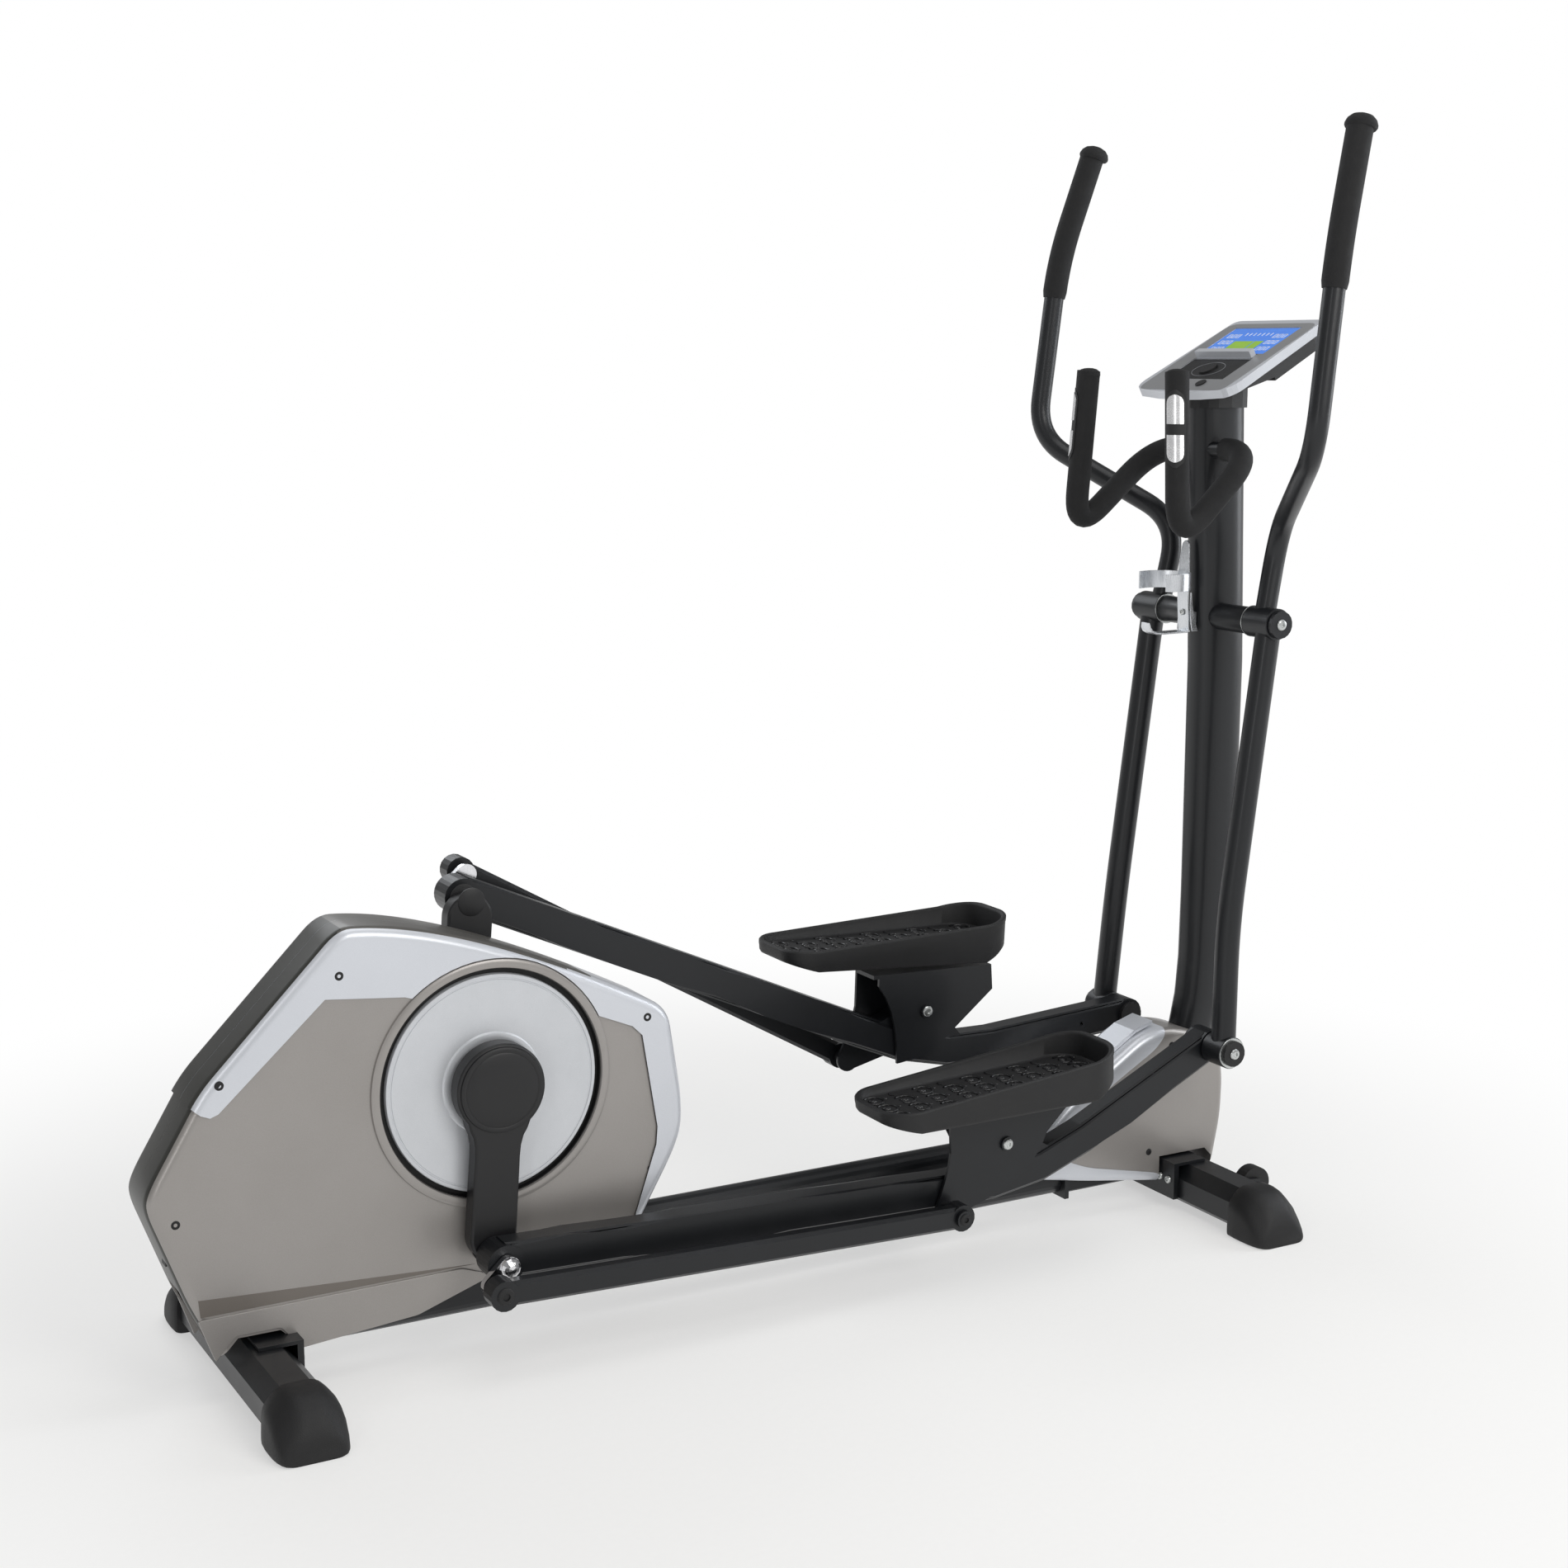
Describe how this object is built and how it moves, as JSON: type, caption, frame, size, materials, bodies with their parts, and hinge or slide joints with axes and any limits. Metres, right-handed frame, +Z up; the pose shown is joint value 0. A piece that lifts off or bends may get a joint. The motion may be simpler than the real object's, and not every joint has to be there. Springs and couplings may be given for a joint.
{
  "type": "elliptical trainer",
  "caption": "Rear-drive elliptical cross trainer with swing handles, fixed grips, tilted console, enclosed flywheel drive and articulated tray pedals.",
  "frame": {"origin": "on the floor, under the middle of the overall length and on the centre plane", "axes": "+X from the rear housing towards the console, +Y to the left of a rider facing the console, +Z up"},
  "size_m": [1.851, 0.717, 1.686],
  "materials": {
    "black_frame": "semi-gloss black enamel",
    "taupe_housing": "warm grey metallic moulding",
    "silver_trim": "silver lacquered moulding",
    "black_plastic": "fine-grained black moulding",
    "black_foam": "matte foam grip",
    "foot_rubber": "matte moulded foot",
    "bright_steel": "polished plating",
    "cage_aluminium": "brushed",
    "flywheel_iron": "turned iron",
    "console_glass": "clear window over a blue display"
  },
  "bodies": {
    "frame": {"rear_frame_rail": "black_frame", "front_frame_rail": "black_frame", "rear_stabilizer": "black_frame", "front_stabilizer": "black_frame", "mast": "black_frame", "mast_pivot_shaft": "black_frame", "console_back": "black_plastic", "console_bezel": "silver_trim", "console_lens": "console_glass", "console_keypad": "black_plastic", "fixed_handlebar": "black_frame", "bottle_cage": "cage_aluminium", "front_shroud_trim": "silver_trim", "power_inlet": "black_plastic", "drive_bracket": "black_frame", "drive_belt": "foot_rubber", "brake_motor": "black_plastic", "foot_cap_rear_right": "foot_rubber", "foot_cap_front_right": "foot_rubber", "fixed_grip_right": "black_foam", "front_shroud_right": "taupe_housing", "rear_cover_right": "taupe_housing", "cover_band_right": "silver_trim", "foot_cap_rear_left": "foot_rubber", "foot_cap_front_left": "foot_rubber", "fixed_grip_left": "black_foam", "front_shroud_left": "taupe_housing", "rear_cover_left": "taupe_housing", "cover_band_left": "silver_trim"},
    "crank": {"crank_axle": "bright_steel", "drive_pulley": "black_plastic", "crank_disc_right": "silver_trim", "crank_disc_left": "silver_trim", "crank_arm_right": "black_frame", "crank_arm_left": "black_frame"},
    "flywheel": {"flywheel": "flywheel_iron"},
    "magnet": {"magnet_bracket": "black_frame"},
    "button_dial": {"console_button_dial": "black_plastic"},
    "button_start": {"console_button_start": "black_plastic"},
    "button_stop": {"console_button_stop": "black_plastic"},
    "swing_right": {"swing_arm_right": "black_frame", "handle_right": "black_frame", "handle_grip_right": "black_foam"},
    "lower_pin_right": {"lower_pivot_pin_right": "black_frame"},
    "bar_right": {"pedal_bar_right": "black_frame"},
    "return_crank_right": {"return_crank_right": "bright_steel"},
    "link_right": {"thin_link_right": "black_frame"},
    "pedal_right": {"pedal_bracket_right": "black_frame", "pedal_right": "black_plastic"},
    "wheel_right": {"transport_wheel_right": "foot_rubber"},
    "swing_left": {"swing_arm_left": "black_frame", "handle_left": "black_frame", "handle_grip_left": "black_foam"},
    "lower_pin_left": {"lower_pivot_pin_left": "black_frame"},
    "bar_left": {"pedal_bar_left": "black_frame"},
    "return_crank_left": {"return_crank_left": "bright_steel"},
    "link_left": {"thin_link_left": "black_frame"},
    "pedal_left": {"pedal_bracket_left": "black_frame", "pedal_left": "black_plastic"},
    "wheel_left": {"transport_wheel_left": "foot_rubber"}
  },
  "joints": [
    {"name": "crank_spin", "type": "hinge", "parent": "frame", "child": "crank", "pos_m": [-0.4495, 0, 0.375], "axis": [0, 1, 0], "continuous": true},
    {"name": "flywheel_spin", "type": "hinge", "parent": "frame", "child": "flywheel", "pos_m": [-0.6905, 0, 0.295], "axis": [0, 1, 0], "continuous": true},
    {"name": "magnet_hinge", "type": "hinge", "parent": "frame", "child": "magnet", "pos_m": [-0.7735, 0, 0.4], "axis": [0, 1, 0], "range_deg": [0, 6]},
    {"name": "dial_press", "type": "slide", "parent": "frame", "child": "button_dial", "axis": [0.4756, 0, -0.8796], "range_m": [0, 0.0015], "stiffness_N_per_m": 400},
    {"name": "start_press", "type": "slide", "parent": "frame", "child": "button_start", "axis": [0.4756, 0, -0.8796], "range_m": [0, 0.0015], "stiffness_N_per_m": 400},
    {"name": "stop_press", "type": "slide", "parent": "frame", "child": "button_stop", "axis": [0.4756, 0, -0.8796], "range_m": [0, 0.0015], "stiffness_N_per_m": 400},
    {"name": "swing_right", "type": "hinge", "parent": "frame", "child": "swing_right", "pos_m": [0.7965, -0.143, 0.943], "axis": [0, 1, 0], "range_deg": [-18, 18]},
    {"name": "lower_pivot_right", "type": "hinge", "parent": "swing_right", "child": "lower_pin_right", "pos_m": [0.72619, -0.13, 0.28072], "axis": [0, 1, 0], "range_deg": [-18, 18]},
    {"name": "bar_pitch_right", "type": "hinge", "parent": "lower_pin_right", "child": "bar_right", "pos_m": [0.72619, -0.108, 0.28072], "axis": [0, 1, 0], "range_deg": [0, 22]},
    {"name": "pedal_pivot_right", "type": "hinge", "parent": "bar_right", "child": "pedal_right", "pos_m": [0.33416, -0.108, 0.18737], "axis": [0, 1, 0], "range_deg": [-17.6, 0]},
    {"name": "link_pivot_right", "type": "hinge", "parent": "pedal_right", "child": "link_right", "pos_m": [0.22975, -0.168, 0.10274], "axis": [0, 1, 0], "range_deg": [0, 23.8]},
    {"name": "crank_pin_right", "type": "hinge", "parent": "bar_right", "child": "return_crank_right", "pos_m": [-0.46707, -0.11, 0.14667], "axis": [0, 1, 0], "continuous": true},
    {"name": "wheel_spin_right", "type": "hinge", "parent": "frame", "child": "wheel_right", "pos_m": [0.8295, -0.11, 0.034], "axis": [0, 1, 0], "continuous": true},
    {"name": "swing_left", "type": "hinge", "parent": "frame", "child": "swing_left", "pos_m": [0.7965, 0.143, 0.943], "axis": [0, 1, 0], "range_deg": [-18, 18]},
    {"name": "lower_pivot_left", "type": "hinge", "parent": "swing_left", "child": "lower_pin_left", "pos_m": [0.72619, 0.13, 0.28072], "axis": [0, 1, 0], "range_deg": [-18, 18]},
    {"name": "bar_pitch_left", "type": "hinge", "parent": "lower_pin_left", "child": "bar_left", "pos_m": [0.72619, 0.108, 0.28072], "axis": [0, 1, 0], "range_deg": [-22, 0]},
    {"name": "pedal_pivot_left", "type": "hinge", "parent": "bar_left", "child": "pedal_left", "pos_m": [0.32771, 0.108, 0.34086], "axis": [0, 1, 0], "range_deg": [0, 17.6]},
    {"name": "link_pivot_left", "type": "hinge", "parent": "pedal_left", "child": "link_left", "pos_m": [0.21699, 0.168, 0.26467], "axis": [0, 1, 0], "range_deg": [-23.8, 0]},
    {"name": "crank_pin_left", "type": "hinge", "parent": "bar_left", "child": "return_crank_left", "pos_m": [-0.43193, 0.11, 0.60333], "axis": [0, 1, 0], "continuous": true},
    {"name": "wheel_spin_left", "type": "hinge", "parent": "frame", "child": "wheel_left", "pos_m": [0.8295, 0.11, 0.034], "axis": [0, 1, 0], "continuous": true}
  ],
  "couplings": [
    {"joint": "flywheel_spin", "follows": "crank_spin", "ratio": 6.25},
    {"joint": "swing_left", "follows": "swing_right", "ratio": -1},
    {"joint": "lower_pivot_right", "follows": "swing_right", "ratio": -1},
    {"joint": "lower_pivot_left", "follows": "swing_right", "ratio": 1},
    {"joint": "bar_pitch_left", "follows": "bar_pitch_right", "ratio": -1},
    {"joint": "pedal_pivot_right", "follows": "bar_pitch_right", "ratio": -0.795},
    {"joint": "pedal_pivot_left", "follows": "bar_pitch_right", "ratio": 0.795},
    {"joint": "link_pivot_right", "follows": "bar_pitch_right", "ratio": 1.077},
    {"joint": "link_pivot_left", "follows": "bar_pitch_right", "ratio": -1.077},
    {"joint": "crank_pin_right", "follows": "crank_spin", "ratio": 1},
    {"joint": "crank_pin_left", "follows": "crank_spin", "ratio": 1}
  ]
}
